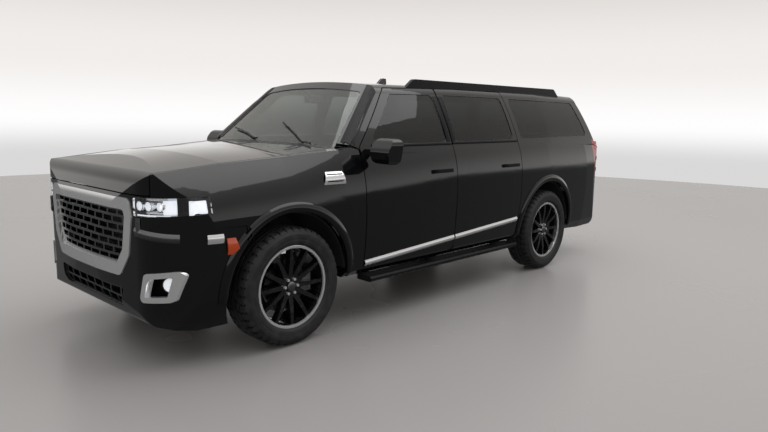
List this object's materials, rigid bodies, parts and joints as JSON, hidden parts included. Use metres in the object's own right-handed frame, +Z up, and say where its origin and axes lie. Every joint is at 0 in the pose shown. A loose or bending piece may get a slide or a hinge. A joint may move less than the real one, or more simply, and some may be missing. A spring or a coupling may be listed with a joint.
{
  "type": "long-wheelbase sport utility vehicle",
  "caption": "Long gloss-black passenger vehicle with upright nose, wide latticed grille, side doors, hatch, bonnet, steering and free-rolling wheels.",
  "frame": {"origin": "on the ground under the middle of the vehicle", "axes": "front faces -Y, the vehicle's left is +X, up is +Z"},
  "size_m": [2.4592, 5.7263, 1.9516],
  "materials": {
    "body_paint": "gloss black with a clear coat",
    "bright_trim": "polished bright trim",
    "black_trim": "gloss black moulded trim",
    "rough_trim": "grained dark moulding",
    "dark_alloy": "dark grey machined alloy",
    "tyre_rubber": "matt black tyre rubber",
    "tinted_glass": "tinted safety glass",
    "lamp_lens": "clear lamp lens",
    "tail_lens": "red lamp lens",
    "frame_steel": "satin black coated steel",
    "cast_metal": "cast and machined iron",
    "engine_metal": "cast aluminium with covers",
    "exhaust_steel": "stainless exhaust",
    "seat_leather": "dark stitched leather",
    "cabin_plastic": "soft dark cabin moulding"
  },
  "bodies": {
    "vehicle": {"body_sides": "body_paint", "front_wings": "body_paint", "roof": "body_paint", "cowl": "rough_trim", "front_bumper": "body_paint", "rear_bumper": "body_paint", "grille_surround": "bright_trim", "grille_mesh": "black_trim", "lamp_surrounds": "bright_trim", "headlamps": "lamp_lens", "tail_lamps": "tail_lens", "fixed_glass": "tinted_glass", "floor_pan": "frame_steel", "front_structure": "frame_steel", "wheel_liners": "rough_trim", "chassis": "frame_steel", "running_boards": "rough_trim", "front_suspension": "frame_steel", "rear_suspension": "cast_metal", "engine": "engine_metal", "fuel_tank": "rough_trim", "exhaust": "exhaust_steel", "dashboard": "cabin_plastic", "steering_wheel": "cabin_plastic", "front_seats": "seat_leather", "rear_seats": "seat_leather", "roof_rails": "bright_trim"},
    "hood": {"hood": "body_paint"},
    "hatch": {"hatch": "body_paint", "hatch_glass": "tinted_glass"},
    "front_door_left": {"front_door_left": "body_paint", "front_glass_left": "tinted_glass", "mirror_left": "body_paint"},
    "rear_door_left": {"rear_door_left": "body_paint", "rear_glass_left": "tinted_glass"},
    "steer_left": {"knuckle_left": "cast_metal"},
    "front_wheel_left": {"wheel_front_left": "dark_alloy", "tyre_front_left": "tyre_rubber"},
    "rear_wheel_left": {"wheel_rear_left": "dark_alloy", "tyre_rear_left": "tyre_rubber"},
    "front_door_right": {"front_door_right": "body_paint", "front_glass_right": "tinted_glass", "mirror_right": "body_paint"},
    "rear_door_right": {"rear_door_right": "body_paint", "rear_glass_right": "tinted_glass"},
    "steer_right": {"knuckle_right": "cast_metal"},
    "front_wheel_right": {"wheel_front_right": "dark_alloy", "tyre_front_right": "tyre_rubber"},
    "rear_wheel_right": {"wheel_rear_right": "dark_alloy", "tyre_rear_right": "tyre_rubber"}
  },
  "joints": [
    {"name": "front_door_left_hinge", "type": "hinge", "parent": "vehicle", "child": "front_door_left", "pos_m": [1.004, -1.168, 0.86], "axis": [0, 0, -1], "range_deg": [0, 65]},
    {"name": "rear_door_left_hinge", "type": "hinge", "parent": "vehicle", "child": "rear_door_left", "pos_m": [1.004, -0.05, 0.86], "axis": [0, 0, -1], "range_deg": [0, 70]},
    {"name": "steer_left_pivot", "type": "hinge", "parent": "vehicle", "child": "steer_left", "pos_m": [0.81, -1.854, 0.417], "axis": [0, 0, 1], "range_deg": [-33, 33]},
    {"name": "front_wheel_left_spin", "type": "hinge", "parent": "steer_left", "child": "front_wheel_left", "pos_m": [0.87, -1.854, 0.417], "axis": [1, 0, 0], "continuous": true},
    {"name": "rear_wheel_left_spin", "type": "hinge", "parent": "vehicle", "child": "rear_wheel_left", "pos_m": [0.87, 1.552, 0.417], "axis": [1, 0, 0], "continuous": true},
    {"name": "front_door_right_hinge", "type": "hinge", "parent": "vehicle", "child": "front_door_right", "pos_m": [-1.004, -1.168, 0.86], "axis": [0, 0, 1], "range_deg": [0, 65]},
    {"name": "rear_door_right_hinge", "type": "hinge", "parent": "vehicle", "child": "rear_door_right", "pos_m": [-1.004, -0.05, 0.86], "axis": [0, 0, 1], "range_deg": [0, 70]},
    {"name": "steer_right_pivot", "type": "hinge", "parent": "vehicle", "child": "steer_right", "pos_m": [-0.81, -1.854, 0.417], "axis": [0, 0, 1], "range_deg": [-33, 33]},
    {"name": "front_wheel_right_spin", "type": "hinge", "parent": "steer_right", "child": "front_wheel_right", "pos_m": [-0.87, -1.854, 0.417], "axis": [1, 0, 0], "continuous": true},
    {"name": "rear_wheel_right_spin", "type": "hinge", "parent": "vehicle", "child": "rear_wheel_right", "pos_m": [-0.87, 1.552, 0.417], "axis": [1, 0, 0], "continuous": true},
    {"name": "hood_hinge", "type": "hinge", "parent": "vehicle", "child": "hood", "pos_m": [0, -1.39, 1.349], "axis": [-1, 0, 0], "range_deg": [0, 50]},
    {"name": "hatch_hinge", "type": "hinge", "parent": "vehicle", "child": "hatch", "pos_m": [0, 2.526, 1.88], "axis": [1, 0, 0], "range_deg": [0, 85]}
  ],
  "couplings": [
    {"joint": "steer_right_pivot", "follows": "steer_left_pivot", "ratio": 1}
  ]
}
